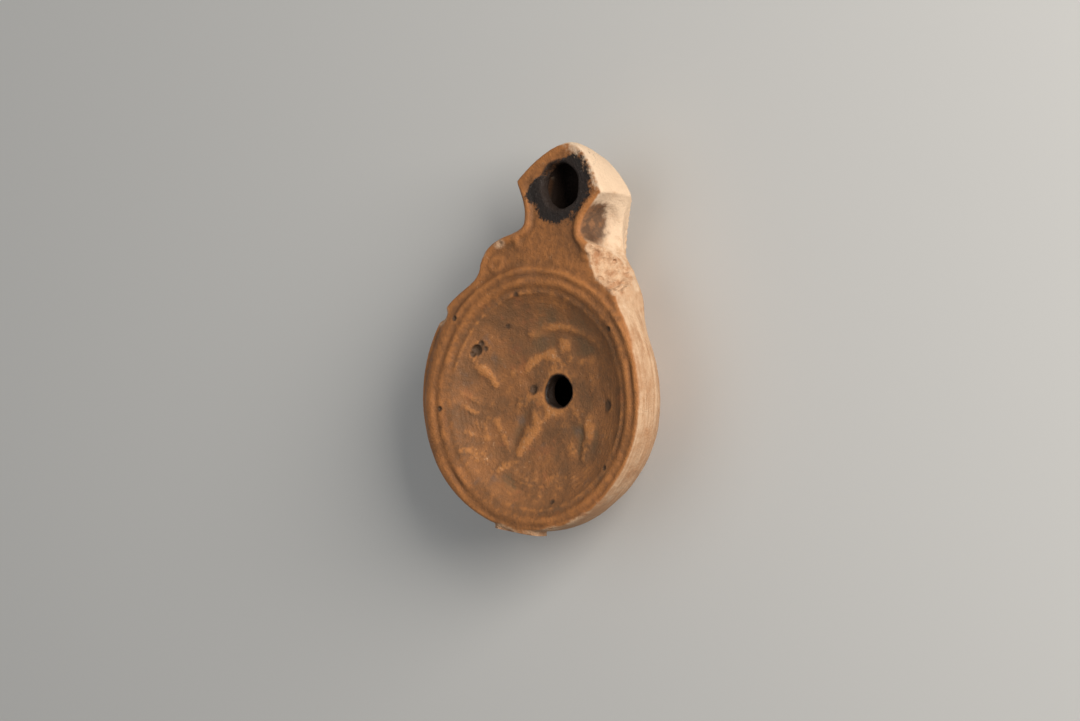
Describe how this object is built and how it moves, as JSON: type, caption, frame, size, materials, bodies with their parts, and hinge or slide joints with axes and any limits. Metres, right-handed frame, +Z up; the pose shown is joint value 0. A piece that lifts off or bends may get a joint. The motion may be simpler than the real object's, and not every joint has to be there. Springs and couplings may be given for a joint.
{
  "type": "oil lamp",
  "caption": "Closed round clay oil lamp with a sunk disc framed by rings, a filling hole, and an angular volute nozzle with a wick hole.",
  "frame": {"origin": "centre of the flat base, on the surface the lamp stands on", "axes": "+Z up out of the disc, +Y from the body's axis to the tip of the nozzle, +X to the right seen from above with the nozzle away"},
  "size_m": [0.0738, 0.1012, 0.025],
  "materials": {
    "fired_clay": "matt fired clay with a worn orange-brown slip, earth staining and soot round the wick hole"
  },
  "bodies": {
    "root": {"lamp_body": "fired_clay"}
  },
  "joints": []
}
